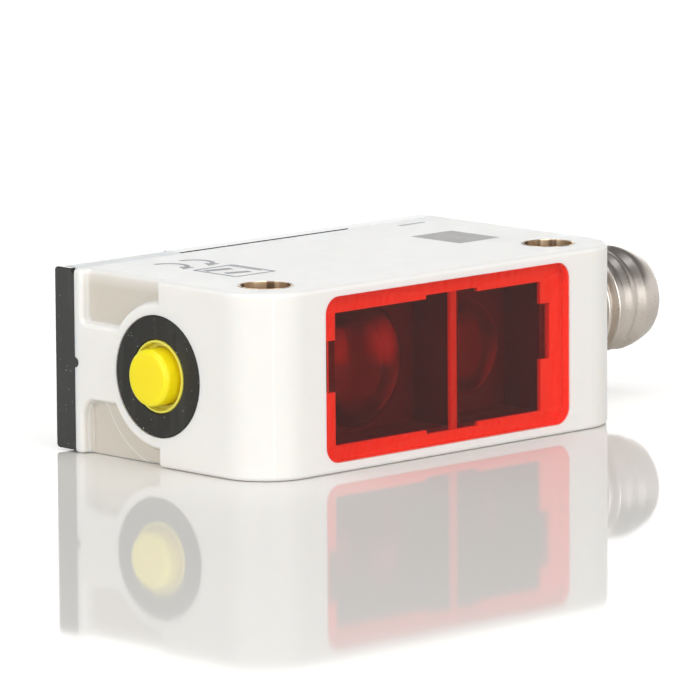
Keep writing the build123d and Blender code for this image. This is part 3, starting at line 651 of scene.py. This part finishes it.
def add_arrow(bm, centre):
    """Curved arrow: an arc with a closed triangular head."""
    first, last = ARROW_TURN
    inner, outer = [], []
    for step in range(ARROW_STEPS + 1):
        angle = first + (last - first) * step / ARROW_STEPS
        ray = Vector((math.cos(angle), math.sin(angle)))
        inner.append(tuple(Vector(centre) + ray * (ARROW_RADIUS - LINE / 2)))
        outer.append(tuple(Vector(centre) + ray * (ARROW_RADIUS + LINE / 2)))
    add_slab(bm, inner[::-1] + outer)
    ray = Vector((math.cos(last), math.sin(last)))
    tip_way = Vector((ray.y, -ray.x))
    end = Vector(centre) + ray * ARROW_RADIUS
    add_slab(bm, [tuple(end + ray * ARROW_HEAD * 0.5), tuple(end - ray * ARROW_HEAD * 0.5),
                  tuple(end + tip_way * ARROW_HEAD)])


def make_setting_symbols():
    """Two curved arrows, and a frame with two bars and a shaded band."""
    bm = bmesh.new()
    for centre in ARROW_CENTRES:
        add_arrow(bm, centre)
    (x0, x1), (y0, y1) = SYMBOL_X, SYMBOL_Y
    corners = ((x0, y0), (x1, y0), (x1, y1), (x0, y1))
    for start, end in zip(corners, corners[1:] + corners[:1]):
        add_line(bm, start, end, THIN_LINE)
    for start, end, width in BARS:
        add_line(bm, Vector(start) * MM, Vector(end) * MM, width * MM)
    add_rectangle(bm, (x1 - SYMBOL_BAND, x1 - THIN_LINE), (y0 + 2 * SYMBOL_BAND, y1 - THIN_LINE))
    add_piece("setting_symbols", bm, ink("dark_ink", *DARK_INK))


def make_grey_patch():
    """Plain screened patch and a short dash near the connector."""
    bm = bmesh.new()
    add_rectangle(bm, PATCH_X, PATCH_Y)
    add_rectangle(bm, DASH_X, DASH_Y)
    add_piece("grey_patch", bm, ink("grey_ink", *GREY_INK))


# ---------------------------------------------------------------- stage
FLOOR_TONES = ((0.81, 0.785, 0.745), (0.795, 0.77, 0.73))
FLOOR_TINT_SCALE = 12
FLOOR_GLOSS_SCALE = 60
FLOOR_ROUGHNESS = (0.045, 0.06)
FLOOR_IOR = 1.22
FLOOR_HALF_SIZE = 1.5
FLOOR_GAP = 0.02 * MM                  # keeps the flat underside from sharing a plane with the table


def make_floor():
    """Glossy pale table top."""
    material, tree, output = new_material("table_gloss")
    shader = tree.nodes.new("ShaderNodeBsdfPrincipled")
    shader.inputs["IOR"].default_value = FLOOR_IOR
    tint = spread(tree, noise(tree, FLOOR_TINT_SCALE, 2), 0, 1)
    tree.links.new(blend_colour(tree, tint, *FLOOR_TONES), shader.inputs["Base Color"])
    gloss = spread(tree, noise(tree, FLOOR_GLOSS_SCALE, 2), *FLOOR_ROUGHNESS)
    tree.links.new(gloss, shader.inputs["Roughness"])
    tree.links.new(shader.outputs["BSDF"], output.inputs["Surface"])
    bm = bmesh.new()
    bmesh.ops.create_grid(bm, x_segments=8, y_segments=8, size=FLOOR_HALF_SIZE)
    mesh = bpy.data.meshes.new("table")
    bm.to_mesh(mesh)
    bm.free()
    mesh.materials.append(material)
    floor = bpy.data.objects.new("table", mesh)
    bpy.context.collection.objects.link(floor)
    floor.location.z = cad_box[0].z - FLOOR_GAP


def make_softbox(name, place, size, power, tone):
    """Square lamp that points at the object."""
    data = bpy.data.lights.new(name, "AREA")
    data.shape = "RECTANGLE"
    data.size, data.size_y = size
    data.energy = power
    data.color = tone
    lamp = bpy.data.objects.new(name, data)
    lamp.location = place
    lamp.rotation_euler = (-Vector(place)).to_track_quat("-Z", "Y").to_euler()
    bpy.context.collection.objects.link(lamp)


DAYLIGHT = (1.0, 1.0, 1.0)
SKYLIGHT = (0.93, 0.965, 1.0)
SOFTBOXES = (("top_softbox", (-0.05, -0.05, 0.60), (0.6, 0.5), 1.96, SKYLIGHT),
             ("right_softbox", (-0.05, -0.70, 0.26), (0.55, 0.55), 2.9, DAYLIGHT),
             ("left_softbox", (-0.70, -0.05, 0.26), (0.55, 0.55), 2.85, DAYLIGHT))
BACKDROP_WAY = (0.69, 0.72, 0.0)       # from the object towards the bright backdrop
BACKDROP_LEVEL = 2.5
BACKDROP_SPAN = (0.78, 0.97)           # cosine of the angle from the backdrop's middle
ROOM_LEVEL = 1.10
CEILING_LEVEL = 0.15
SWEEP_TOP = (0.24, 0.46)               # sine of the elevation where the white sweep fades out


def make_world():
    """White sweep round the table, brightest behind the object, under a dimmer ceiling."""
    world = bpy.data.worlds.new("studio")
    bpy.context.scene.world = world
    world.use_nodes = True
    tree = world.node_tree
    tree.nodes.clear()
    output = tree.nodes.new("ShaderNodeOutputWorld")
    background = tree.nodes.new("ShaderNodeBackground")
    coords = tree.nodes.new("ShaderNodeTexCoord")
    split = tree.nodes.new("ShaderNodeSeparateXYZ")
    tree.links.new(coords.outputs["Generated"], split.inputs["Vector"])
    towards = tree.nodes.new("ShaderNodeVectorMath")
    towards.operation = "DOT_PRODUCT"
    towards.inputs[1].default_value = BACKDROP_WAY
    tree.links.new(coords.outputs["Generated"], towards.inputs[0])
    sweep = spread(tree, towards.outputs["Value"], ROOM_LEVEL, BACKDROP_LEVEL, *BACKDROP_SPAN)
    height = spread(tree, split.outputs["Z"], 0, 1, *SWEEP_TOP)
    level = tree.nodes.new("ShaderNodeMix")
    level.inputs["B"].default_value = CEILING_LEVEL
    tree.links.new(height, level.inputs["Factor"])
    tree.links.new(sweep, level.inputs["A"])
    tree.links.new(level.outputs["Result"], background.inputs["Strength"])
    tree.links.new(background.outputs["Background"], output.inputs["Surface"])


make_threaded_shell()
make_setting_symbols()
make_grey_patch()
make_floor()
make_world()
for softbox in SOFTBOXES:
    make_softbox(*softbox)

scene = bpy.context.scene
scene.view_settings.view_transform = "Standard"
scene.view_settings.look = "None"
make_camera()
